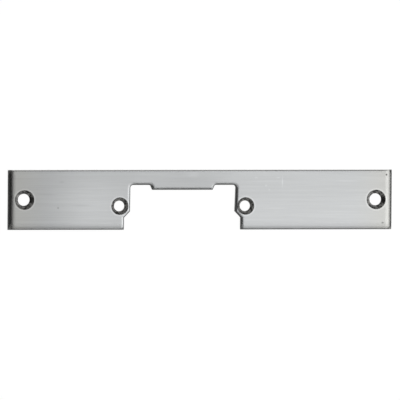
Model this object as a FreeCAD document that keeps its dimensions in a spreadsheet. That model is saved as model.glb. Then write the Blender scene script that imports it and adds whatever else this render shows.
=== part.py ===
import FreeCAD, Part

import math
import os

import Sketcher

# Strike plate: a flat face plate of stainless steel that is let into a door
# frame over the keeper of the lock. It was blanked and pierced in one piece.
# The back lies on z = 0 and +Z points out of the visible face. X runs along
# the length. The opening for the bolt is cut in from the long edge at -Y,
# called the mouth edge here, and the long edge at +Y is the rear edge.

Vector = FreeCAD.Vector

# Driving sizes, in millimetres and degrees.
SIZES = {
    # Blank
    "plate_length": 228.6,
    "plate_width": 34.925,
    "plate_thickness": 3.175,
    "back_edge_break": 0.25,
    # Rolled rims of the visible face: how far each reaches in from its edge,
    # the slope that it comes to, and the tight radius that turns it from
    # there into the wall.
    "end_roll_reach": 4.2,
    "end_roll_slope": 22.0,
    "rear_roll_reach": 2.4,
    "rear_roll_slope": 10.0,
    "mouth_roll_reach": 3.9,
    "mouth_roll_slope": 14.0,
    "opening_roll_reach": 1.9,
    "opening_roll_slope": 20.0,
    "rim_radius": 0.9,
    # Opening for the bolt. Depths are taken from the mouth edge, and widths
    # about its own centre line, which stands left of the middle of the plate.
    # The width is that at the shoulders, from where both walls lean a little
    # to +X on their way in.
    "opening_offset": -10.65,
    "opening_width": 62.6,
    "left_wall_lean": 0.6,
    "right_wall_lean": 2.0,
    "opening_depth": 26.1,
    "opening_corner_radius": 1.7,
    "mouth_depth": 7.05,
    "mouth_step": 3.5,
    "mouth_step_rise": 3.65,
    "tongue_width": 35.7,
    "tongue_reach": 2.85,
    "tongue_side_angle": 24.0,
    "tongue_root_radius": 1.2,
    # Countersunk screw holes: one near each end, and one beside each side of
    # the opening for the screws of the lock body.
    "countersink_angle": 82.0,
    "end_screw_inset": 9.525,
    "end_hole_diameter": 7.0,
    "end_countersink_diameter": 11.4,
    "body_screw_margin": 6.15,
    "body_screw_rise": 13.8,
    "body_hole_diameter": 6.2,
    "body_countersink_diameter": 10.2,
}

# Cutters stand this far outside the blank, and the cutter of the opening's
# rim this far out over the opening and over the face.
OVERRUN = 4.0
RIM_OVERRUN = 0.4

# Places that several outlines share, as expressions of the sizes.
TOP = "plate_thickness"
REAR_EDGE = "plate_width / 2"
MOUTH_EDGE = "- plate_width / 2"
OUTSIDE = f"{MOUTH_EDGE} - {OVERRUN}"

START, END, CENTRE = 1, 2, 3
ORIGIN = (-1, 1)
PARALLEL = 1e-4


class SizeSheet:
    """The spreadsheet of driving sizes, with an alias for each."""

    def __init__(self, doc):
        self.sheet = doc.addObject("Spreadsheet::Sheet", "Sizes")
        for row, (name, value) in enumerate(SIZES.items(), start=1):
            self.sheet.set(f"A{row}", name)
            self.sheet.set(f"B{row}", str(value))
            self.sheet.setAlias(f"B{row}", name)
        doc.recompute()

    def text(self, expression):
        """Return an expression of size names as another object writes it."""
        words = expression.replace("(", "( ").replace(")", " )").split()
        return " ".join(f"Sizes.{word}" if word in SIZES else word for word in words)

    def value(self, expression):
        """Return what an expression of size names comes to."""
        return float(self.sheet.evalExpression(expression))


def origin_plane(body, role):
    """Return the body's own origin plane of that role."""
    for feature in body.Origin.OriginFeatures:
        if feature.Role == role:
            return feature
    raise ValueError(f"the body has no {role}")


def heading(path, at_end):
    """Return the direction of a line or arc at its first or last point."""
    if len(path) == 2:
        return (path[1] - path[0]).normalize()
    centre = Part.Arc(*path).toShape().Curve.Center
    ray = path[-1] - centre if at_end else path[0] - centre
    along = Vector(-ray.y, ray.x, 0).normalize()
    return along if along.dot(path[-1] - path[0]) > 0 else -along


def joint_kind(path, after):
    """Return the constraint that joins two neighbouring pieces."""
    leaving, entering = heading(path, True), heading(after, False)
    if leaving.cross(entering).Length < PARALLEL:
        return "Tangent"
    square = abs(leaving.dot(entering)) < PARALLEL
    one_arc = len(path) != len(after)
    return "Perpendicular" if square and one_arc else "Coincident"


class Outline:
    """A sketch outline on one of the body's origin planes.

    It is drawn where the sizes put it, and constraints bound to the
    spreadsheet hold it there.
    """

    def __init__(self, body, sheet, name, role):
        self.sheet = sheet
        self.sketch = body.newObject("Sketcher::SketchObject", name)
        self.sketch.AttachmentSupport = [(origin_plane(body, role), "")]
        self.sketch.MapMode = "FlatFace"

    def lift(self, expression):
        """Move the sketch along its plane's normal."""
        self.sketch.setExpression("AttachmentOffset.Base.z", self.sheet.text(expression))

    def draw(self, pieces):
        """Draw lines (two points) and arcs (three points) end to end.

        Neighbours that run smoothly on are held tangent, an arc that meets a
        line squarely is held square, and level or upright lines are held so.
        """
        paths = [[Vector(*point, 0) for point in piece] for piece in pieces]
        for path in paths:
            shape = Part.LineSegment(*path) if len(path) == 2 else Part.Arc(*path)
            self.sketch.addGeometry(shape, False)
        for index, path in enumerate(paths):
            after = (index + 1) % len(paths)
            joint = (index, self.end_at(index, path[-1]), after, self.end_at(after, path[-1]))
            self.constrain(joint_kind(path, paths[after]), *joint)
            if len(path) == 2:
                self.level(index, heading(path, True))

    def path(self, pieces):
        """Draw an open line of pieces that run smoothly on."""
        paths = [[Vector(*point, 0) for point in piece] for piece in pieces]
        for path in paths:
            shape = Part.LineSegment(*path) if len(path) == 2 else Part.Arc(*path)
            self.sketch.addGeometry(shape, False)
        for index, path in enumerate(paths[:-1]):
            after = index + 1
            joint = (index, self.end_at(index, path[-1]), after, self.end_at(after, path[-1]))
            self.constrain("Tangent", *joint)
        for index, path in enumerate(paths):
            if len(path) == 2:
                self.level(index, heading(path, True))

    def level(self, index, along):
        """Hold a line that is drawn level or upright."""
        if abs(along.y) < PARALLEL:
            self.constrain("Horizontal", index)
        elif abs(along.x) < PARALLEL:
            self.constrain("Vertical", index)

    def end_at(self, index, point):
        """Return which end of a piece lies at a point."""
        at_start = self.sketch.getPoint(index, START).distanceToPoint(point) < PARALLEL
        return START if at_start else END

    def circle(self, centre_x, centre_y, diameter):
        """Draw a circle bound to its place and diameter."""
        centre = Vector(self.sheet.value(centre_x), self.sheet.value(centre_y), 0)
        shape = Part.Circle(centre, Vector(0, 0, 1), self.sheet.value(diameter) / 2)
        index = self.sketch.addGeometry(shape, False)
        self.at_x(index, CENTRE, centre_x)
        self.at_y(index, CENTRE, centre_y)
        self.bind("Diameter", index, to=diameter)

    def at_x(self, index, point, expression):
        """Bind the first coordinate of a piece's point."""
        self.bind("DistanceX", *ORIGIN, index, point, to=expression)

    def at_y(self, index, point, expression):
        """Bind the second coordinate of a piece's point."""
        self.bind("DistanceY", *ORIGIN, index, point, to=expression)

    def constrain(self, kind, *arguments):
        """Add a constraint and return its number."""
        return self.sketch.addConstraint(Sketcher.Constraint(kind, *arguments))

    def bind(self, kind, *arguments, to):
        """Add a constraint whose size is an expression of the sheet."""
        value = self.sheet.value(to)
        if kind == "Angle":
            value = math.radians(value)
        number = self.constrain(kind, *arguments, value)
        self.sketch.setExpression(f"Constraints[{number}]", self.sheet.text(to))


def wide_radius(name):
    """Return the radius of a rolled rim's wide arc, as an expression."""
    return f"( rim_radius + ( {name}_roll_reach - rim_radius ) / sin( {name}_roll_slope ) )"


def fall(name):
    """Return how far a rolled rim falls to its wall, as an expression."""
    return f"( rim_radius + ( {name}_roll_reach - rim_radius ) * tan( {name}_roll_slope / 2 ) )"


def rim_arcs(sheet, name, edge, inward):
    """Return a rolled rim as a wide arc off the face and a tight arc.

    The wide arc leaves the face level, and the tight one turns it into the
    wall at the edge. The second coordinate runs up through the plate.
    """
    sizes = [f"{name}_roll_reach", "rim_radius", wide_radius(name), fall(name)]
    reach, tight, wide, drop = (sheet.value(size) for size in sizes)
    wide_centre = Vector(reach, -wide, 0)
    tight_centre = Vector(tight, -drop, 0)
    outward = (tight_centre - wide_centre).normalize()
    points = [
        Vector(reach, 0, 0),
        wide_centre + (outward + Vector(0, 1, 0)).normalize() * wide,
        tight_centre + outward * tight,
        tight_centre + (outward + Vector(-1, 0, 0)).normalize() * tight,
        Vector(0, -drop, 0),
    ]
    base, top = sheet.value(edge), sheet.value(TOP)
    placed = [(base + inward * point.x, top + point.y) for point in points]
    return [tuple(placed[:3]), tuple(placed[2:])]


def reverse(pieces):
    """Return pieces drawn the other way round."""
    return [tuple(reversed(piece)) for piece in reversed(pieces)]


def chain(*points):
    """Return the straight pieces that join points in order."""
    return list(zip(points[:-1], points[1:]))


def add_blank(body, sheet):
    """Extrude the cross-section of the plate, with its long rims rolled."""
    rear, mouth = sheet.value(REAR_EDGE), sheet.value(MOUTH_EDGE)
    edge = sheet.value("back_edge_break")
    rear_rim = rim_arcs(sheet, "rear", REAR_EDGE, -1)
    mouth_rim = rim_arcs(sheet, "mouth", MOUTH_EDGE, 1)
    outline = Outline(body, sheet, "BlankSection", "YZ_Plane")
    outline.draw(
        [
            *chain((mouth + edge, 0), (rear - edge, 0), (rear, edge), rear_rim[1][2]),
            *reverse(rear_rim),
            (rear_rim[0][0], mouth_rim[0][0]),
            *mouth_rim,
            *chain(mouth_rim[1][2], (mouth, edge), (mouth + edge, 0)),
        ]
    )
    back, rear_wall, rear_tight, face, mouth_tight, mouth_wall = 0, 2, 3, 5, 7, 8
    outline.at_y(back, START, "0")
    outline.at_x(back, START, f"{MOUTH_EDGE} + back_edge_break")
    outline.at_x(back, END, f"{REAR_EDGE} - back_edge_break")
    outline.at_y(face, START, TOP)
    outline.at_x(face, START, f"{REAR_EDGE} - rear_roll_reach")
    outline.at_x(face, END, f"{MOUTH_EDGE} + mouth_roll_reach")
    outline.at_x(rear_wall, START, REAR_EDGE)
    outline.at_y(rear_wall, START, "back_edge_break")
    outline.at_y(rear_wall, END, f"{TOP} - {fall('rear')}")
    outline.at_x(mouth_wall, START, MOUTH_EDGE)
    outline.at_y(mouth_wall, START, f"{TOP} - {fall('mouth')}")
    outline.at_y(mouth_wall, END, "back_edge_break")
    outline.bind("Radius", rear_tight, to="rim_radius")
    outline.bind("Radius", mouth_tight, to="rim_radius")
    pad = body.newObject("PartDesign::Pad", "Blank")
    pad.Profile = outline.sketch
    pad.SideType = "Symmetric"
    pad.setExpression("Length", sheet.text(f"plate_length + {2 * OVERRUN}"))


def cut_end(body, sheet, name, outward):
    """Cut one end to length and break its back edge."""
    out, back = ("+", "-") if outward > 0 else ("-", "+")
    end_x = f"{out} plate_length / 2"
    break_x = f"{end_x} {back} back_edge_break"
    out_x = f"{end_x} {out} {2 * OVERRUN}"
    high_y = f"{TOP} + {OVERRUN}"
    end, broken, outside, high = (sheet.value(place) for place in (end_x, break_x, out_x, high_y))
    corners = [(end, high), (end, sheet.value("back_edge_break")), (broken, 0)]
    corners += [(broken, -OVERRUN), (outside, -OVERRUN), (outside, high), (end, high)]
    outline = Outline(body, sheet, f"{name}EndOutline", "XZ_Plane")
    outline.draw(chain(*corners))
    wall, below, low, outer = 0, 2, 3, 4
    outline.at_x(wall, START, end_x)
    outline.at_y(wall, END, "back_edge_break")
    outline.at_x(below, START, break_x)
    outline.at_y(below, START, "0")
    outline.at_y(low, START, f"- {OVERRUN}")
    outline.at_x(outer, START, out_x)
    outline.at_y(outer, END, high_y)
    pocket = body.newObject("PartDesign::Pocket", f"{name}End")
    pocket.Profile = outline.sketch
    pocket.SideType = "Symmetric"
    pocket.setExpression("Length", sheet.text(f"plate_width + {2 * OVERRUN}"))


def trace_rims(body, sheet):
    """Draw the line across the face that the rims of its ends and legs follow.

    It runs down with the rims of both long edges, and out past them.
    """
    outline = Outline(body, sheet, "EndRimPath", "YZ_Plane")
    top = sheet.value(TOP)
    arcs = []
    for name, edge, side in (("rear", REAR_EDGE, 1), ("mouth", MOUTH_EDGE, -1)):
        radius = sheet.value(wide_radius(name))
        inner = sheet.value(edge) - side * sheet.value(f"{name}_roll_reach")
        run = sheet.value(f"{name}_roll_reach") + RIM_OVERRUN
        parts = [0, run / 2, run]
        arcs.append([(inner + side * part, top - radius + math.sqrt(radius**2 - part**2)) for part in parts])
    rear, mouth = arcs
    outline.path([tuple(reversed(rear)), (rear[0], mouth[0]), tuple(mouth)])
    outline.bind("Radius", 0, to=wide_radius("rear"))
    outline.bind("Radius", 2, to=wide_radius("mouth"))
    outline.at_y(1, START, TOP)
    outline.at_x(1, START, f"{REAR_EDGE} - rear_roll_reach")
    outline.at_x(1, END, f"{MOUTH_EDGE} + mouth_roll_reach")
    outline.at_x(0, outline.end_at(0, Vector(*rear[2], 0)), f"{REAR_EDGE} + {RIM_OVERRUN}")
    outline.at_x(2, outline.end_at(2, Vector(*mouth[2], 0)), f"{MOUTH_EDGE} - {RIM_OVERRUN}")
    return outline.sketch


def roll_across(body, sheet, name, rim, edge_x, outward, spine, from_y):
    """Roll a rim that runs across the plate, and down with those of the long edges.

    outward is the side that its wall faces, spine the part of the rims' line
    that it follows, and from_y a place on that part.
    """
    out, back = ("+", "-") if outward > 0 else ("-", "+")
    rim_x = f"{edge_x} {back} {rim}_roll_reach"
    out_x = f"{edge_x} {out} {RIM_OVERRUN}"
    high_y = f"{TOP} + {RIM_OVERRUN}"
    sill_y = f"{TOP} - {fall(rim)}"
    over, outside, high, sill = (sheet.value(place) for place in (rim_x, out_x, high_y, sill_y))
    arcs = rim_arcs(sheet, rim, edge_x, -outward)
    outline = Outline(body, sheet, f"{name}Rim", "XZ_Plane")
    outline.lift(f"- ( {from_y} )")
    outline.draw([*arcs, *chain(arcs[1][2], (outside, sill), (outside, high), (over, high), arcs[0][0])])
    tight, low, outer, above = 1, 2, 3, 5
    outline.bind("Radius", tight, to="rim_radius")
    outline.at_x(low, START, edge_x)
    outline.at_y(low, START, sill_y)
    outline.at_x(outer, START, out_x)
    outline.at_y(outer, END, high_y)
    outline.at_x(above, START, rim_x)
    outline.at_y(above, END, TOP)
    sweep = body.newObject("PartDesign::SubtractivePipe", f"Rolled{name}")
    sweep.Profile = outline.sketch
    sweep.Spine = spine
    sweep.Mode = "Fixed"


def rounded(before, corner, after, radius):
    """Return the start, middle and end of an arc that rounds a corner."""
    corner = Vector(*corner, 0)
    back = (Vector(*before, 0) - corner).normalize()
    onward = (Vector(*after, 0) - corner).normalize()
    half_angle = back.getAngle(onward) / 2
    inward = (back + onward).normalize()
    centre = corner + inward * (radius / math.sin(half_angle))
    run = radius / math.tan(half_angle)
    points = [corner + back * run, centre - inward * radius, corner + onward * run]
    return tuple((point.x, point.y) for point in points)


class OpeningSide:
    """One side of the opening, from outside the mouth to the tongue's tip."""

    STEP_LOW = f"{MOUTH_EDGE} + mouth_depth"
    STEP_HIGH = f"{STEP_LOW} + mouth_step_rise"
    DEEP = f"{MOUTH_EDGE} + opening_depth"
    TIP = f"{DEEP} - tongue_reach"

    def __init__(self, sheet, outward):
        sign = "+" if outward > 0 else "-"
        self.wall_x = f"opening_offset {sign} opening_width / 2"
        self.mouth_x = f"{self.wall_x} {sign} mouth_step"
        self.tip_x = f"opening_offset {sign} tongue_width / 2"
        self.flank_angle = f"{sign} ( 90 - tongue_side_angle )"
        self.lean = "right_wall_lean" if outward > 0 else "left_wall_lean"
        self.wall_angle = f"- 90 - {self.lean}" if outward > 0 else f"90 - {self.lean}"
        self.pieces = self.trace(sheet, outward)

    def trace(self, sheet, outward):
        """Return the side's lines and arcs, where the sizes put them."""
        value = sheet.value
        lean = math.tan(math.radians(value("tongue_side_angle")))
        mouth, foot = ((value(self.mouth_x), value(level)) for level in (OUTSIDE, self.STEP_LOW))
        shoulder = (value(self.wall_x), value(self.STEP_HIGH))
        deep = value(self.DEEP)
        lean_over = math.tan(math.radians(value(self.lean))) * (deep - shoulder[1])
        corner = (shoulder[0] + lean_over, deep)
        tip = (value(self.tip_x), value(self.TIP))
        root = (tip[0] + outward * lean * value("tongue_reach"), corner[1])
        corner_arc = rounded(shoulder, corner, root, value("opening_corner_radius"))
        root_arc = rounded(corner, root, tip, value("tongue_root_radius"))
        pieces = chain(mouth, foot, shoulder, corner_arc[0])
        return [*pieces, corner_arc, (corner_arc[2], root_arc[0]), root_arc, (root_arc[2], tip)]

    def hold(self, outline, indexes, outer, inner):
        """Bind the drawn pieces to the sizes.

        outer and inner are the ends of each line nearer the mouth and nearer
        the tongue's tip.
        """
        mouth, _, wall, corner, top, root, flank = indexes
        outline.at_x(mouth, outer, self.mouth_x)
        outline.at_y(mouth, inner, self.STEP_LOW)
        outline.at_x(wall, outer, self.wall_x)
        outline.at_y(wall, outer, self.STEP_HIGH)
        outline.bind("Angle", wall, to=self.wall_angle)
        outline.bind("Radius", corner, to="opening_corner_radius")
        outline.at_y(top, outer, self.DEEP)
        outline.bind("Radius", root, to="tongue_root_radius")
        outline.bind("Angle", flank, to=self.flank_angle)
        outline.at_x(flank, inner, self.tip_x)


def cut_opening(body, sheet):
    """Pierce the stepped opening with the tongue at its deep side."""
    left, right = OpeningSide(sheet, -1), OpeningSide(sheet, 1)
    right_pieces = reverse(right.pieces)
    tip = (left.pieces[-1][1], right_pieces[0][0])
    outside = (right_pieces[-1][1], left.pieces[0][0])
    outline = Outline(body, sheet, "OpeningOutline", "XY_Plane")
    outline.draw([*left.pieces, tip, *right_pieces, outside])
    count = len(left.pieces)
    left.hold(outline, range(count), START, END)
    right.hold(outline, range(2 * count, count, -1), END, START)
    outline.at_y(count, START, OpeningSide.TIP)
    outline.at_y(2 * count + 1, START, OUTSIDE)
    pocket = body.newObject("PartDesign::Pocket", "Opening")
    pocket.Profile = outline.sketch
    pocket.SideType = "Symmetric"
    pocket.setExpression("Length", sheet.text(f"2 * {TOP} + {OVERRUN}"))
    return outline.sketch, 2 * count + 1


def roll_opening_rim(body, sheet, path, edge_count):
    """Roll the rim of the opening, along the whole of its outline."""
    mouth_x = OpeningSide(sheet, -1).mouth_x
    reach_x = f"{mouth_x} - opening_roll_reach"
    out_x = f"{mouth_x} + {RIM_OVERRUN}"
    high_y = f"{TOP} + {RIM_OVERRUN}"
    rim = rim_arcs(sheet, "opening", mouth_x, -1)
    sill_y = f"{TOP} - {fall('opening')}"
    over, out, high, sill = (sheet.value(place) for place in (reach_x, out_x, high_y, sill_y))
    outline = Outline(body, sheet, "OpeningRim", "XZ_Plane")
    outline.lift(f"- ( {OUTSIDE} )")
    outline.draw([*rim, *chain(rim[1][2], (out, sill), (out, high), (over, high), rim[0][0])])
    tight, low, outer, above = 1, 2, 3, 5
    outline.bind("Radius", tight, to="rim_radius")
    outline.at_x(low, START, mouth_x)
    outline.at_y(low, START, sill_y)
    outline.at_x(outer, START, out_x)
    outline.at_y(outer, END, high_y)
    outline.at_x(above, START, reach_x)
    outline.at_y(above, END, TOP)
    sweep = body.newObject("PartDesign::SubtractivePipe", "RolledOpening")
    sweep.Profile = outline.sketch
    sweep.Spine = (path, [f"Edge{number}" for number in range(1, edge_count + 1)])
    sweep.Transition = "Right corner"


def drill(body, sheet, name, places, row):
    """Drill a row of countersunk screw holes from the visible face."""
    outline = Outline(body, sheet, f"{name.capitalize()}ScrewCentres", "XY_Plane")
    outline.lift(TOP)
    for place in places:
        outline.circle(place, row, f"{name}_hole_diameter")
    body.Document.recompute()
    hole = body.newObject("PartDesign::Hole", f"{name.capitalize()}ScrewHoles")
    hole.Profile = outline.sketch
    hole.DepthType = "ThroughAll"
    hole.HoleCutType = "Countersink"
    hole.HoleCutCustomValues = True
    hole.setExpression("Diameter", sheet.text(f"{name}_hole_diameter"))
    hole.setExpression("HoleCutDiameter", sheet.text(f"{name}_countersink_diameter"))
    hole.setExpression("HoleCutCountersinkAngle", sheet.text("countersink_angle"))


def check(doc, body):
    """Stop if a feature failed or the plate is not one sound solid."""
    for item in doc.Objects:
        if {"Invalid", "Error"} & set(item.State):
            raise RuntimeError(f"{item.Name} failed: {item.State}")
    shape = body.Shape
    if shape.isNull() or not shape.isValid() or len(shape.Solids) != 1:
        raise RuntimeError("the plate is not one valid solid")


def main():
    """Build the plate and write it."""
    doc = FreeCAD.newDocument("StrikePlate")
    sheet = SizeSheet(doc)
    body = doc.addObject("PartDesign::Body", "StrikePlate")
    body.Label = "strike_plate"
    add_blank(body, sheet)
    cut_end(body, sheet, "Left", -1)
    cut_end(body, sheet, "Right", 1)
    rims = trace_rims(body, sheet)
    whole, mouth_side = (rims, ["Edge1", "Edge2", "Edge3"]), (rims, ["Edge3"])
    roll_across(body, sheet, "LeftEnd", "end", "- plate_length / 2", -1, whole, "0")
    roll_across(body, sheet, "RightEnd", "end", "plate_length / 2", 1, whole, "0")
    path, edge_count = cut_opening(body, sheet)
    roll_opening_rim(body, sheet, path, edge_count)
    level = f"{MOUTH_EDGE} + mouth_roll_reach"
    roll_across(body, sheet, "LeftLeg", "opening", OpeningSide(sheet, -1).mouth_x, 1, mouth_side, level)
    roll_across(body, sheet, "RightLeg", "opening", OpeningSide(sheet, 1).mouth_x, -1, mouth_side, level)
    end_x = "plate_length / 2 - end_screw_inset"
    drill(body, sheet, "end", [f"- ( {end_x} )", end_x], "0")
    reach = "opening_width / 2 + body_screw_margin"
    places = [f"opening_offset - ( {reach} )", f"opening_offset + {reach}"]
    drill(body, sheet, "body", places, f"{MOUTH_EDGE} + body_screw_rise")
    doc.recompute()
    check(doc, body)
    os.makedirs("parts", exist_ok=True)
    body.Shape.exportStep(f"parts/{body.Label}.step")


main()
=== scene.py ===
"""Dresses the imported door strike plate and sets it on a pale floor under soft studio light.

The plate keeps the shape of the CAD model. This script gives it its steel, the floor, the light
and the camera. Every length is in metres, in the frame of the CAD model: X runs along the plate,
and Z comes out of its visible face.
"""

import logging
import math
from dataclasses import dataclass, field
from enum import Enum

import bmesh
import bpy
from mathutils import Matrix, Vector


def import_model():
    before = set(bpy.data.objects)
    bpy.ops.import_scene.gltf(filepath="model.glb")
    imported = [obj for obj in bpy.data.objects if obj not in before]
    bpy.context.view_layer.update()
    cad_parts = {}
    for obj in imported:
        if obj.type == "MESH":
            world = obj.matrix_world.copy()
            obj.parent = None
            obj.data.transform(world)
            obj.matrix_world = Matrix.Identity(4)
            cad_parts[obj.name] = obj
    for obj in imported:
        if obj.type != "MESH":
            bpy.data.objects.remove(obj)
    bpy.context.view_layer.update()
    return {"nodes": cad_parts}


LOG = logging.getLogger("strike_plate")
MM = 0.001
COLUMN_WIDTH = 200
MIX_FIRST = 6
MIX_SECOND = 7
MIX_RESULT = 2
NodeTree = bpy.types.NodeTree
Node = bpy.types.Node
Socket = bpy.types.NodeSocket
Colour = tuple[float, float, float, float]
Point = tuple[float, float, float]
Span = tuple[float, float]


class Axis(Enum):
    """The output of a Separate XYZ node that carries one axis."""

    X = "X"
    Y = "Y"
    Z = "Z"


class SocketKind(Enum):
    """The kinds of input that the shader node groups here take."""

    NUMBER = "NodeSocketFloat"
    VECTOR = "NodeSocketVector"


class MarkKind(Enum):
    """What a mark on the face is: a pit that goes into the steel, or a rub that changes its tone; the
    broadest rubs are painted light and painted shade.
    """

    PIT = "pit"
    RUB = "rub"


class Draft:
    """Adds nodes to one node tree, in the order in which a value is made."""

    def __init__(self, tree: NodeTree) -> None:
        """Takes the node tree of a material, a world or a group."""
        self.tree = tree
        self.column = 0

    def node(self, kind: str, **settings: object) -> Node:
        """Adds one node.

        Args:
            kind: The node's type name.
            settings: Attributes to set on the node.

        Returns:
            The new node.
        """
        made = self.tree.nodes.new(kind)
        made.location = (COLUMN_WIDTH * self.column, 0)
        self.column += 1
        for name, value in settings.items():
            setattr(made, name, value)
        return made

    def feed(self, socket: Socket, value: object) -> None:
        """Links a socket to another one, or sets its value.

        Args:
            socket: The input to fill.
            value: An output socket, or a plain value.
        """
        if isinstance(value, bpy.types.NodeSocket):
            self.tree.links.new(value, socket)
        else:
            socket.default_value = value

    def math(self, operation: str, *values: object, clamp: bool = False) -> Socket:
        """Works out one number from others.

        Args:
            operation: The Math node's operation.
            values: The inputs in order, sockets or numbers.
            clamp: Whether the result is kept between 0 and 1.

        Returns:
            The socket with the result.
        """
        made = self.node("ShaderNodeMath", operation=operation, use_clamp=clamp)
        for socket, value in zip(made.inputs, values):
            self.feed(socket, value)
        return made.outputs["Value"]

    def ramp(self, value: Socket, span: Span, start: float = 0.0, end: float = 1.0) -> Socket:
        """Carries a value smoothly from one number to another.

        Args:
            value: The value that drives the change.
            span: Where the change starts and ends.
            start: The result below the span.
            end: The result above it.

        Returns:
            The socket with the result.
        """
        made = self.node("ShaderNodeMapRange", interpolation_type="SMOOTHSTEP")
        made.inputs["From Min"].default_value = span[0]
        made.inputs["From Max"].default_value = span[1]
        made.inputs["To Min"].default_value = start
        made.inputs["To Max"].default_value = end
        self.feed(made.inputs["Value"], value)
        return made.outputs["Result"]

    def part(self, vector: Socket, axis: Axis) -> Socket:
        """Gives one component of a vector.

        Args:
            vector: The vector.
            axis: The component.

        Returns:
            The socket with the number.
        """
        made = self.node("ShaderNodeSeparateXYZ")
        self.feed(made.inputs["Vector"], vector)
        return made.outputs[axis.value]

    def noise(self, place: Socket, detail: float, roughness: float) -> Socket:
        """Adds a noise pattern with one cell per unit.

        Args:
            place: The coordinates.
            detail: The number of finer layers.
            roughness: The strength of the finer layers.

        Returns:
            The socket with the noise, from 0 to 1.
        """
        made = self.node("ShaderNodeTexNoise")
        made.inputs["Scale"].default_value = 1.0
        made.inputs["Detail"].default_value = detail
        made.inputs["Roughness"].default_value = roughness
        self.feed(made.inputs["Vector"], place)
        return made.outputs["Fac"]

    def blend(self, mask: Socket, first: object, second: object) -> Socket:
        """Mixes two colours.

        Args:
            mask: 0 shows the first colour, 1 the second.
            first: A colour or a colour socket.
            second: A colour or a colour socket.

        Returns:
            The socket with the mixed colour.
        """
        made = self.node("ShaderNodeMix", data_type="RGBA")
        self.feed(made.inputs["Factor"], mask)
        self.feed(made.inputs[MIX_FIRST], first)
        self.feed(made.inputs[MIX_SECOND], second)
        return made.outputs[MIX_RESULT]

    def vector(self, operation: str, first: object, second: object) -> Socket:
        """Works out one vector from two others.

        Args:
            operation: The Vector Math node's operation.
            first: A vector or a vector socket.
            second: A vector or a vector socket.

        Returns:
            The socket with the vector.
        """
        made = self.node("ShaderNodeVectorMath", operation=operation)
        self.feed(made.inputs[0], first)
        self.feed(made.inputs[1], second)
        return made.outputs["Vector"]

    def length(self, vector: Socket) -> Socket:
        """Gives a vector's length.

        Args:
            vector: The vector.

        Returns:
            The socket with the length.
        """
        made = self.node("ShaderNodeVectorMath", operation="LENGTH")
        self.feed(made.inputs[0], vector)
        return made.outputs["Value"]

    def tint(self, colour: Colour, tone: Socket) -> Socket:
        """Makes a colour lighter or darker.

        Args:
            colour: The colour at a tone of 1.
            tone: The factor.

        Returns:
            The socket with the colour.
        """
        made = self.node("ShaderNodeVectorMath", operation="SCALE")
        made.inputs[0].default_value = colour[:3]
        self.feed(made.inputs["Scale"], tone)
        return made.outputs["Vector"]

    def swing(self, value: Socket, amount: float) -> Socket:
        """Turns a pattern from 0 to 1 into a factor round 1, which spans the amount in all."""
        return self.math("MULTIPLY_ADD", value, amount, 1.0 - amount / 2)

    def use(self, group: NodeTree, **inputs: object) -> Node:
        """Places a node group and fills its inputs.

        Args:
            group: The group.
            inputs: A value or a socket for each input by name.

        Returns:
            The group's node.
        """
        made = self.node("ShaderNodeGroup")
        made.node_tree = group
        for name, value in inputs.items():
            self.feed(made.inputs[name], value)
        return made


class Effect:
    """Starts and closes one shader node group with named inputs and outputs."""

    def __init__(self, name: str, **inputs: SocketKind) -> None:
        """Makes the group and its inputs.

        Args:
            name: The group's name.
            inputs: The kind of each input by name.
        """
        self.tree = bpy.data.node_groups.new(name, "ShaderNodeTree")
        self.draft = Draft(self.tree)
        for label, kind in inputs.items():
            self.tree.interface.new_socket(label, in_out="INPUT", socket_type=kind.value)
        self.given = self.draft.node("NodeGroupInput").outputs

    def close(self, **results: Socket) -> NodeTree:
        """Makes the group's outputs.

        Args:
            results: The number that each output gives, by name.

        Returns:
            The finished group.
        """
        kind = SocketKind.NUMBER.value
        for label in results:
            self.tree.interface.new_socket(label, in_out="OUTPUT", socket_type=kind)
        taken = self.draft.node("NodeGroupOutput")
        for label, value in results.items():
            self.draft.feed(taken.inputs[label], value)
        return self.tree


class Effects:
    """The node groups that the finish is made from, each built once."""

    disc_edge: Span = (-0.1, 0.1)
    grain_detail: float = 4.0
    grain_roughness: float = 0.6

    def __init__(self) -> None:
        """Builds the groups."""
        self.ring = self.ring_group()
        self.grain = self.grain_group()

    def ring_group(self) -> NodeTree:
        """Builds the masks of a ring and of the disc inside it, drawn on the plate's outline.

        Returns:
            The group. Its radius and width are in units of its reach, and a radius of 0 gives a
            soft spot.
        """
        number, vector = SocketKind.NUMBER, SocketKind.VECTOR
        effect = Effect("ring", place=vector, centre=vector, reach=vector, radius=number, width=number)
        draft, given = effect.draft, effect.given
        offset = draft.vector("SUBTRACT", given["place"], given["centre"])
        share = draft.vector("DIVIDE", offset, given["reach"])
        distance = draft.length(draft.vector("MULTIPLY", share, (1.0, 1.0, 0.0)))
        inward = draft.math("SUBTRACT", given["radius"], distance)
        off = draft.math("DIVIDE", draft.math("ABSOLUTE", inward), given["width"])
        ring = draft.ramp(off, (0.0, 1.0), 1.0, 0.0)
        return effect.close(ring=ring, disc=draft.ramp(inward, self.disc_edge))

    def grain_group(self) -> NodeTree:
        """Builds a pattern of fine lines that run along the plate.

        Returns:
            The group. Its inputs are the coordinates and the number of cells per metre both ways.
        """
        number, vector = SocketKind.NUMBER, SocketKind.VECTOR
        effect = Effect("grain", place=vector, along=number, across=number)
        draft, given = effect.draft, effect.given
        cells = draft.node("ShaderNodeCombineXYZ")
        draft.feed(cells.inputs["X"], given["along"])
        draft.feed(cells.inputs["Y"], given["across"])
        draft.feed(cells.inputs["Z"], given["across"])
        lines = draft.vector("MULTIPLY", given["place"], cells.outputs["Vector"])
        return effect.close(value=draft.noise(lines, self.grain_detail, self.grain_roughness))


@dataclass(frozen=True)
class ScrewHole:
    """A countersunk hole, seen from the face, in millimetres.

    Its last value is how dark painted shade makes the right side of its cone.
    """

    x: float
    y: float
    radius: float
    painted_right_shade: float


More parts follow.
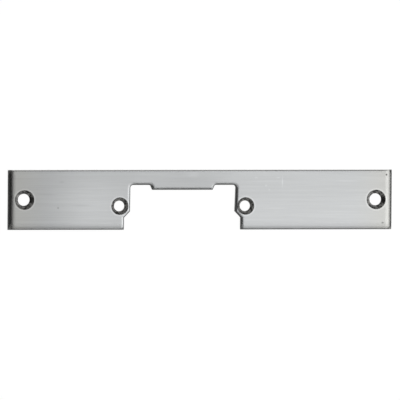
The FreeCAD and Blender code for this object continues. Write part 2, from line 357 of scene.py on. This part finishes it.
@dataclass(frozen=True)
class Mark:
    """A mark on the face, in millimetres: a pit or rub that use has left, or a broad patch of painted
    light or painted shade.

    Its amount is the depth of a pit, from 0 to 1, or the change of tone that a rub makes.
    """

    kind: MarkKind
    x: float
    y: float
    reach: Span
    amount: float


@dataclass(frozen=True)
class Grain:
    """Lines along the plate: their cells per metre both ways, and how far they change the tone."""

    along: float
    across: float
    swing: float


@dataclass(frozen=True)
class Speckle:
    """An even pattern: its cells per metre along each axis, and its finer layers."""

    cells: Point
    detail: float
    roughness: float


@dataclass(frozen=True)
class Surface:
    """The coordinates, patterns and masks that the channels of the steel share."""

    place: Socket
    normal: Socket
    up: Socket
    steep: Socket
    rear: Socket
    fine: Socket
    coarse: Socket
    haze: Socket
    painted_halo: Socket
    cone: Socket
    painted_right_shade: Socket
    rub: Socket
    pit: Socket


@dataclass(frozen=True)
class BrushedSteel:
    """The finish of the plate: steel brushed along its length, with sheared walls and turned cones, and
    with light and shade painted on its walls, cones and face.

    The spans named steep, rolled and worn are heights of the surface's normal, which is 1 on the flat
    face and 0 on a wall. The span of the painted shade on each cone's right side is the normal's part
    along X.
    """

    name: str = "brushed_steel"
    steel: Colour = (0.595, 0.607, 0.612, 1.0)
    warm_steel: Colour = (0.605, 0.607, 0.585, 1.0)
    # Near-black walls: a duller sheared finish, darkened past it as painted shade along the plate's
    # edges.
    sheared_and_painted_shade: Colour = (0.110, 0.110, 0.107, 1.0)
    # Painted light: the rear wall is coloured lighter than the face, standing in for the light it
    # catches.
    rear_edge_painted_light: Colour = (0.71, 0.71, 0.70, 1.0)
    # The dark of the cones' mottle, and the colour of the painted shade on each cone's right side.
    cone_dark_and_painted_shade: Colour = (0.02, 0.02, 0.02, 1.0)
    cone_light: Colour = (0.42, 0.415, 0.40, 1.0)

    fine: Grain = Grain(60.0, 2600.0, 0.12)
    coarse: Grain = Grain(22.0, 800.0, 0.20)
    haze: Grain = Grain(16.0, 60.0, 0.12)
    torn: Speckle = Speckle((1600.0, 1600.0, 250.0), 3.0, 0.6)
    mottle: Speckle = Speckle((650.0, 650.0, 650.0), 4.0, 0.7)

    warm: Span = (88.0 * MM, 113.0 * MM)
    # Painted shade: the face darkens across Y, towards its rear edge, down to the low factor below.
    painted_shade_across: Span = (-12.0 * MM, 12.0 * MM)
    painted_shade_low: float = 0.95
    rear: Span = (17.15 * MM, 17.25 * MM)
    steep: Span = (0.835, 0.915)
    rolled: Span = (0.93, 0.97)
    worn: Span = (0.90, 0.98)
    worn_lines: Span = (0.45, 0.70)
    worn_tone: float = 0.06
    pit_tone: float = -0.75
    sheared_swing: float = 0.70
    edge_swing: float = 0.25

    # Painted highlight: a lighter ring just outside each countersink, standing in for light on its rim.
    halo_offset: float = 0.45
    halo_width: float = 0.75
    painted_halo_tone: float = 0.16
    cone_margin: float = 0.1
    cone_gloss: float = 0.95
    mottled: Span = (0.38, 0.62)
    mottle_low: float = 0.05
    # Painted shade on each cone's right side: the span of the normal's part along X over which it sets
    # in.
    painted_right_shade: Span = (-0.76, -0.58)

    roughness: float = 0.31
    wall_roughness: float = 0.50
    fine_roughness: float = 0.30
    haze_roughness: float = 0.12
    pit_roughness: float = 0.25
    burnish: float = 0.52
    anisotropy: float = 0.5
    dull_gloss: float = 0.05
    grain_depth: float = 0.002 * MM
    coarse_share: float = 2.0
    pit_depth: float = 0.05 * MM

    def material(self, effects: Effects, holes: tuple[ScrewHole, ...],
                 marks: tuple[Mark, ...]) -> bpy.types.Material:
        """Builds the material.

        Args:
            effects: The node groups.
            holes: The plate's screw holes.
            marks: The marks on its face.

        Returns:
            The finished material.
        """
        made = bpy.data.materials.new(self.name)
        made.use_nodes = True
        made.node_tree.nodes.clear()
        draft = Draft(made.node_tree)
        surface = self.survey(draft, effects, holes, marks)
        # The torn walls turn non-metal, which keeps them near black as painted shade; the cones and the
        # painted-light rear wall stay metal.
        bright = draft.math("MAXIMUM", surface.cone, surface.rear)
        dull = draft.math("MULTIPLY", surface.steep, draft.math("SUBTRACT", 1.0, bright))
        face = self.face_colour(draft, surface)
        wall = self.wall_colour(draft, surface)
        across = draft.node("ShaderNodeTangent", direction_type="RADIAL", axis="X")

        shader = draft.node("ShaderNodeBsdfPrincipled")
        shader.inputs["Specular IOR Level"].default_value = self.dull_gloss
        shader.inputs["Anisotropic"].default_value = self.anisotropy
        draft.feed(shader.inputs["Metallic"], draft.math("SUBTRACT", 1.0, dull))
        draft.feed(shader.inputs["Base Color"], draft.blend(surface.steep, face, wall))
        draft.feed(shader.inputs["Roughness"], self.blur(draft, surface))
        draft.feed(shader.inputs["Normal"], self.relief(draft, surface))
        draft.feed(shader.inputs["Tangent"], across.outputs["Tangent"])
        output = draft.node("ShaderNodeOutputMaterial")
        draft.feed(output.inputs["Surface"], shader.outputs["BSDF"])
        return made

    def survey(self, draft: Draft, effects: Effects, holes: tuple[ScrewHole, ...],
               marks: tuple[Mark, ...]) -> Surface:
        """Makes the patterns and masks.

        Args:
            draft: The material's draft.
            effects: The node groups.
            holes: The screw holes.
            marks: The marks.

        Returns:
            The sockets that the channels share.
        """
        place = draft.node("ShaderNodeTexCoord").outputs["Object"]
        normal = draft.node("ShaderNodeNewGeometry").outputs["True Normal"]
        up = draft.part(normal, Axis.Z)
        fine, coarse, haze = (
            draft.use(effects.grain, place=place, along=grain.along, across=grain.across).outputs["value"]
            for grain in (self.fine, self.coarse, self.haze)
        )
        painted_halo, cone, painted_right_shade = self.hole_masks(draft, effects, holes, place)
        rub, pit = self.mark_masks(draft, effects, marks, place)
        return Surface(
            place=place,
            normal=normal,
            up=up,
            steep=draft.ramp(up, self.steep, 1.0, 0.0),
            rear=draft.ramp(draft.part(place, Axis.Y), self.rear),
            fine=fine,
            coarse=coarse,
            haze=haze,
            painted_halo=painted_halo,
            cone=cone,
            painted_right_shade=painted_right_shade,
            rub=rub,
            pit=pit,
        )

    def hole_masks(self, draft: Draft, effects: Effects, holes: tuple[ScrewHole, ...],
                   place: Socket) -> tuple[Socket, Socket, Socket]:
        """Masks the countersink of each hole and the painted highlight ring round it.

        Args:
            draft: The material's draft.
            effects: The node groups.
            holes: The screw holes.
            place: The coordinates.

        Returns:
            The painted highlight ring round each hole, its inside, and how far painted shade darkens
            that.
        """
        painted_halo: Socket | float = 0.0
        cone: Socket | float = 0.0
        painted_right_shade: Socket | float = 0.0
        reach = (MM, MM, 1.0)
        for hole in holes:
            centre = (hole.x * MM, hole.y * MM, 0.0)
            ring = draft.use(effects.ring, place=place, centre=centre, reach=reach,
                             radius=hole.radius + self.halo_offset, width=self.halo_width)
            disc = draft.use(effects.ring, place=place, centre=centre, reach=reach,
                             radius=hole.radius + self.cone_margin, width=1.0)
            painted_halo = draft.math("MAXIMUM", ring.outputs["ring"], painted_halo)
            cone = draft.math("MAXIMUM", disc.outputs["disc"], cone)
            painted_right_shade = draft.math("MULTIPLY_ADD", disc.outputs["disc"], hole.painted_right_shade, painted_right_shade)
        return painted_halo, cone, painted_right_shade

    def mark_masks(self, draft: Draft, effects: Effects, marks: tuple[Mark, ...],
                   place: Socket) -> tuple[Socket, Socket]:
        """Gathers the marks on the face.

        Args:
            draft: The material's draft.
            effects: The node groups.
            marks: The marks.
            place: The coordinates.

        Returns:
            The change of tone that the rubs and the patches of painted light and shade make, and the mask
            of the pits.
        """
        rub: Socket | float = 0.0
        pit: Socket | float = 0.0
        for mark in marks:
            centre = (mark.x * MM, mark.y * MM, 0.0)
            reach = (mark.reach[0] * MM, mark.reach[1] * MM, 1.0)
            spot = draft.use(effects.ring, place=place, centre=centre, reach=reach, radius=0.0, width=1.0)
            if mark.kind is MarkKind.PIT:
                pit = draft.math("MULTIPLY_ADD", spot.outputs["ring"], mark.amount, pit)
            else:
                rub = draft.math("MULTIPLY_ADD", spot.outputs["ring"], mark.amount, rub)
        return rub, pit

    def face_colour(self, draft: Draft, surface: Surface) -> Socket:
        """Colours the brushed face, a little warmer at its ends, with painted shade towards its rear
        edge.

        Args:
            draft: The material's draft.
            surface: The patterns and masks.

        Returns:
            The socket with the colour.
        """
        lines = draft.ramp(surface.coarse, self.worn_lines)
        worn = draft.math("MULTIPLY", draft.ramp(surface.up, self.worn, 1.0, 0.0), lines)
        # Painted shade: the face darkens towards its rear edge (+Y), standing in for how the light falls
        # across it.
        tone = draft.ramp(draft.part(surface.place, Axis.Y), self.painted_shade_across, 1.0, self.painted_shade_low)
        patterns = ((surface.fine, self.fine), (surface.coarse, self.coarse), (surface.haze, self.haze))
        for pattern, grain in patterns:
            tone = draft.math("MULTIPLY", tone, draft.swing(pattern, grain.swing))
        changes = (
            # painted highlight round each countersink
            (surface.painted_halo, self.painted_halo_tone),
            # rubs of use, and the broad patches of painted light and painted shade
            (surface.rub, 1.0),
            (worn, self.worn_tone),
            (surface.pit, self.pit_tone),
        )
        for mask, amount in changes:
            tone = draft.math("MULTIPLY", tone, draft.math("MULTIPLY_ADD", mask, amount, 1.0))
        end = draft.ramp(draft.math("ABSOLUTE", draft.part(surface.place, Axis.X)), self.warm)
        return draft.blend(end, draft.tint(self.steel, tone), draft.tint(self.warm_steel, tone))

    def wall_colour(self, draft: Draft, surface: Surface) -> Socket:
        """Colours the walls: torn by the punch and painted near black as shade, smoother and painted
        lighter along the rear edge, mottled in the cones and painted darker on their right sides.

        Args:
            draft: The material's draft.
            surface: The patterns and masks.

        Returns:
            The socket with the colour.
        """
        torn = self.speckle(draft, surface.place, self.torn)
        # painted shade on the torn walls, painted light on the rear wall
        sheared_and_painted_shade = draft.tint(self.sheared_and_painted_shade, draft.swing(torn, self.sheared_swing))
        rear_edge_painted_light = draft.tint(self.rear_edge_painted_light, draft.swing(torn, self.edge_swing))
        plain = draft.blend(surface.rear, sheared_and_painted_shade, rear_edge_painted_light)
        mottle = self.speckle(draft, surface.place, self.mottle)
        mottle = draft.ramp(mottle, self.mottled, self.mottle_low, 1.0)
        # Painted shade: cone facets that face -X, on each cone's right side, go towards the dark cone
        # colour.
        right = draft.ramp(draft.part(surface.normal, Axis.X), self.painted_right_shade, 1.0, 0.0)
        cone_light_share = draft.math("SUBTRACT", self.cone_gloss, draft.math("MULTIPLY", right, surface.painted_right_shade))
        turned_and_painted_shade = draft.blend(draft.math("MULTIPLY", mottle, cone_light_share), self.cone_dark_and_painted_shade, self.cone_light)
        return draft.blend(surface.cone, plain, turned_and_painted_shade)

    @staticmethod
    def speckle(draft: Draft, place: Socket, pattern: Speckle) -> Socket:
        """Makes an even pattern from 0 to 1, with the given cells and layers."""
        cells = draft.vector("MULTIPLY", place, pattern.cells)
        return draft.noise(cells, pattern.detail, pattern.roughness)

    def blur(self, draft: Draft, surface: Surface) -> Socket:
        """Works out the roughness: lines on the face, smoother rolled rims, rougher walls and pits.

        Args:
            draft: The material's draft.
            surface: The patterns and masks.

        Returns:
            The socket with the roughness.
        """
        rough = draft.math("MULTIPLY", draft.swing(surface.fine, self.fine_roughness), self.roughness)
        rough = draft.math("MULTIPLY", rough, draft.swing(surface.haze, self.haze_roughness))
        rolled = draft.ramp(surface.up, self.rolled, 1.0, 0.0)
        rough = draft.math("MULTIPLY", rough, draft.math("MULTIPLY_ADD", rolled, -self.burnish, 1.0))
        wall = draft.math("MULTIPLY", surface.steep, self.wall_roughness - self.roughness)
        rough = draft.math("ADD", rough, wall)
        return draft.math("MULTIPLY_ADD", surface.pit, self.pit_roughness, rough)

    def relief(self, draft: Draft, surface: Surface) -> Socket:
        """Raises the brushed lines and sinks the pits.

        Args:
            draft: The material's draft.
            surface: The patterns and masks.

        Returns:
            The socket with the normal.
        """
        lines = draft.math("ADD", surface.fine, draft.math("MULTIPLY", surface.coarse, self.coarse_share))
        height = draft.math("MULTIPLY", lines, self.grain_depth)
        height = draft.math("MULTIPLY_ADD", surface.pit, -self.pit_depth, height)
        bump = draft.node("ShaderNodeBump")
        bump.inputs["Strength"].default_value = 1.0
        bump.inputs["Distance"].default_value = 1.0
        draft.feed(bump.inputs["Height"], height)
        return bump.outputs["Normal"]


@dataclass
class StrikePlate:
    """The strike plate itself, one solid that keeps its CAD mesh."""

    node: bpy.types.Object
    finish: BrushedSteel = field(default_factory=BrushedSteel)
    # Each hole's last value is how dark painted shade makes the right side of its cone.
    holes: tuple[ScrewHole, ...] = (
        ScrewHole(-104.775, 0.0, 5.7, 0.80),
        ScrewHole(104.775, 0.0, 5.7, 0.90),
        ScrewHole(-48.1, -3.6625, 5.1, 0.15),
        ScrewHole(26.8, -3.6625, 5.1, 0.25),
    )
    marks: tuple[Mark, ...] = (
        Mark(MarkKind.PIT, 110.8, 14.5, (0.85, 0.85), 1.0),
        Mark(MarkKind.PIT, 108.7, -13.6, (1.1, 0.8), 0.6),
        Mark(MarkKind.PIT, -84.9, -4.7, (0.8, 0.9), 0.4),
        Mark(MarkKind.PIT, 44.8, 17.1, (1.0, 0.6), 0.7),
        Mark(MarkKind.RUB, 48.6, 10.6, (0.55, 4.6), 0.20),
        Mark(MarkKind.RUB, 33.0, 12.9, (1.6, 0.8), 0.10),
        Mark(MarkKind.RUB, 38.9, 8.3, (1.0, 0.9), 0.14),
        Mark(MarkKind.RUB, 40.8, 5.8, (0.9, 1.0), 0.11),
        Mark(MarkKind.RUB, 46.2, 12.9, (1.6, 0.7), 0.12),
        Mark(MarkKind.RUB, -4.7, 15.0, (6.0, 3.2), 0.08),
        Mark(MarkKind.RUB, -92.0, 3.3, (10.0, 0.9), -0.09),
        Mark(MarkKind.RUB, -70.5, -3.2, (9.0, 1.0), -0.09),
        Mark(MarkKind.RUB, -82.6, 10.4, (2.4, 1.1), -0.09),
        Mark(MarkKind.RUB, 87.0, 10.8, (10.0, 0.9), 0.08),
        Mark(MarkKind.RUB, 43.5, -5.0, (14.0, 0.8), 0.08),
        Mark(MarkKind.RUB, 42.0, 10.9, (14.0, 0.8), 0.06),
        # Painted light: a broad lighter patch over the face's left part, standing in for how the light
        # rises along it.
        Mark(MarkKind.RUB, -68.0, -3.0, (32.0, 34.0), 0.20),
        # Painted shade: a broad darker patch over the face's middle, towards its rear edge.
        Mark(MarkKind.RUB, -4.0, 10.0, (38.0, 14.0), -0.12),
    )

    def dress(self, effects: Effects) -> None:
        """Puts the finish on every material slot of the plate.

        Args:
            effects: The node groups that the finish is made from.
        """
        material = self.finish.material(effects, self.holes, self.marks)
        for slot in self.node.material_slots:
            slot.material = material
        LOG.info("dressed %s in %s", self.node.name, material.name)


@dataclass
class Floor:
    """The pale floor that the plate lies on."""

    radius: float = 6.0
    segments: int = 96
    gap: float = 0.05 * MM
    colour: Colour = (0.92, 0.92, 0.92, 1.0)
    shown_white: float = 0.86
    paper_glow: float = 1.11

    def build(self) -> bpy.types.Object:
        """Builds the floor and its material.

        Returns:
            The floor object.
        """
        mesh = bpy.data.meshes.new("floor")
        disc = bmesh.new()
        bmesh.ops.create_circle(disc, cap_ends=True, segments=self.segments, radius=self.radius,
                                matrix=Matrix.Translation((0.0, 0.0, -self.gap)))
        disc.to_mesh(mesh)
        disc.free()
        made = bpy.data.objects.new("floor", mesh)
        bpy.context.scene.collection.objects.link(made)
        made.data.materials.append(self.material())
        LOG.info("laid the floor")
        return made

    def material(self) -> bpy.types.Material:
        """Builds the floor's paper.

        Returns:
            The material: matt white, which the camera and the steel see as a white background
            with a soft shadow.
        """
        made = bpy.data.materials.new("floor_paper")
        made.use_nodes = True
        made.node_tree.nodes.clear()
        draft = Draft(made.node_tree)
        paper = draft.node("ShaderNodeBsdfDiffuse")
        paper.inputs["Color"].default_value = self.colour
        white = draft.node("ShaderNodeEmission")
        white.inputs["Strength"].default_value = self.paper_glow
        path = draft.node("ShaderNodeLightPath")
        seen = draft.math("ADD", path.outputs["Is Camera Ray"], path.outputs["Is Glossy Ray"], clamp=True)
        seen = draft.math("ADD", seen, path.outputs["Is Transmission Ray"], clamp=True)
        mixed = draft.node("ShaderNodeMixShader")
        draft.feed(mixed.inputs["Fac"], draft.math("MULTIPLY", seen, self.shown_white))
        draft.feed(mixed.inputs[1], paper.outputs["BSDF"])
        draft.feed(mixed.inputs[2], white.outputs["Emission"])
        output = draft.node("ShaderNodeOutputMaterial")
        draft.feed(output.inputs["Surface"], mixed.outputs["Shader"])
        return made


@dataclass(frozen=True)
class Softbox:
    """One soft rectangular lamp that hangs level and shines down."""

    name: str
    x: Span
    y: Span
    height: float
    radiance: float

    def build(self) -> bpy.types.Object:
        """Hangs the lamp.

        Returns:
            The lamp object.
        """
        width = self.x[1] - self.x[0]
        depth = self.y[1] - self.y[0]
        light = bpy.data.lights.new(self.name, "AREA")
        light.shape = "RECTANGLE"
        light.size = width
        light.size_y = depth
        light.energy = self.radiance * math.pi * width * depth
        made = bpy.data.objects.new(self.name, light)
        bpy.context.scene.collection.objects.link(made)
        made.location = (sum(self.x) / 2, sum(self.y) / 2, self.height)
        LOG.info("hung %s", self.name)
        return made


@dataclass
class Studio:
    """The light round the plate: lamps overhead, and a pale horizon in a dark room.

    The horizon is dimmer past the plate's right end and reaches a little higher in the corners. A
    dim glow behind the plate and past its left corners keeps the steel from going black from other
    sides. Each span is a part of the unit vector towards that place in the room.
    """

    boxes: tuple[Softbox, ...] = (
        Softbox("high_softbox", (-0.26, 1.56), (-0.75, 0.72), 1.5, 0.70),
        Softbox("low_softbox", (0.03, 0.42), (-0.20, 0.19), 0.4, 0.43),
        Softbox("side_softbox", (0.51, 1.05), (-0.50, 0.50), 1.0, 0.50),
    )
    dusk: float = 0.01
    horizon: float = 0.75
    horizon_height: Span = (0.42, 0.60)
    corner_reach: float = 0.31
    dim_share: float = 0.75
    dim_x: Span = (0.10, 0.60)
    dim_side: Span = (0.20, 0.50)
    left_glow: float = 0.20
    left_x: Span = (-0.35, -0.10)
    left_side: Span = (0.15, 0.40)
    rear_glow: float = 0.35
    rear_y: Span = (0.40, 0.60)

    def build(self) -> None:
        """Hangs the lamps and lights the room."""
        for box in self.boxes:
            box.build()
        world = bpy.data.worlds.new("studio")
        bpy.context.scene.world = world
        world.use_nodes = True
        world.node_tree.nodes.clear()
        draft = Draft(world.node_tree)
        room = draft.node("ShaderNodeBackground")
        draft.feed(room.inputs["Strength"], self.glow(draft))
        output = draft.node("ShaderNodeOutputWorld")
        draft.feed(output.inputs["Surface"], room.outputs["Background"])
        LOG.info("lit the room")

    def glow(self, draft: Draft) -> Socket:
        """Works out how bright the room is in each direction.

        Args:
            draft: The world's draft.

        Returns:
            The socket with the strength.
        """
        toward = draft.node("ShaderNodeTexCoord").outputs["Generated"]
        x, y, z = (draft.part(toward, axis) for axis in Axis)
        side = draft.math("ABSOLUTE", y)
        corner = draft.math("ABSOLUTE", draft.math("MULTIPLY", x, y))
        height = draft.math("SUBTRACT", z, draft.math("MULTIPLY", corner, self.corner_reach))
        horizon = draft.ramp(height, self.horizon_height, self.horizon, self.dusk)
        dim = draft.ramp(x, self.dim_x, 0.0, self.dim_share)
        dim = draft.math("MULTIPLY", dim, draft.ramp(side, self.dim_side, 1.0, 0.0))
        horizon = draft.math("MULTIPLY", horizon, draft.math("SUBTRACT", 1.0, dim))
        left = draft.ramp(x, self.left_x, self.left_glow, 0.0)
        left = draft.math("MULTIPLY", left, draft.ramp(side, self.left_side))
        rear = draft.ramp(y, self.rear_y, 0.0, self.rear_glow)
        return draft.math("MAXIMUM", horizon, draft.math("MAXIMUM", left, rear))


@dataclass(frozen=True)
class View:
    """The view of the plate: from far off and above, a little past its left end.

    The plate's middle stands a part of a pixel off the picture's. A pixel is given as its width at
    the plate.
    """

    lean: float = math.radians(11.9)
    rise: float = math.radians(2.5)
    roll: float = math.radians(-0.43)
    distance: float = 9.5
    clip_share: float = 4.0
    pixel: float = 0.58335 * MM
    picture: int = 400
    sensor: float = 36.0
    target: Point = (0.0, 0.0, 1.5875 * MM)
    right_of_middle: float = 0.25
    below_middle: float = -0.37

    def build(self) -> bpy.types.Object:
        """Places the camera and makes it the scene's own.

        Returns:
            The camera object.
        """
        over = math.cos(self.rise)
        back = Vector((-math.sin(self.lean) * over, math.sin(self.rise), math.cos(self.lean) * over))
        level = Vector((math.cos(self.lean), 0.0, math.sin(self.lean)))
        along = back.cross(level)
        right = level * math.cos(self.roll) - along * math.sin(self.roll)
        up = along * math.cos(self.roll) + level * math.sin(self.roll)
        shift = up * self.below_middle - right * self.right_of_middle
        aim = Vector(self.target) + shift * self.pixel
        lens = bpy.data.cameras.new("camera")
        lens.sensor_width = self.sensor
        lens.lens = self.distance * self.sensor / (self.pixel * self.picture)
        lens.clip_end = self.clip_share * self.distance
        made = bpy.data.objects.new("camera", lens)
        bpy.context.scene.collection.objects.link(made)
        turn = Matrix((right, up, back)).transposed()
        made.matrix_world = Matrix.Translation(aim + back * self.distance) @ turn.to_4x4()
        bpy.context.scene.camera = made
        LOG.info("set the camera")
        return made


def main() -> None:
    """Builds the scene in order: frame, plate, floor, light and camera."""
    logging.basicConfig(level=logging.INFO)
    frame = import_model()
    bpy.context.scene.view_settings.view_transform = "Standard"
    StrikePlate(frame["nodes"]["strike_plate"]).dress(Effects())
    Floor().build()
    Studio().build()
    View().build()


if __name__ == "__main__":
    main()
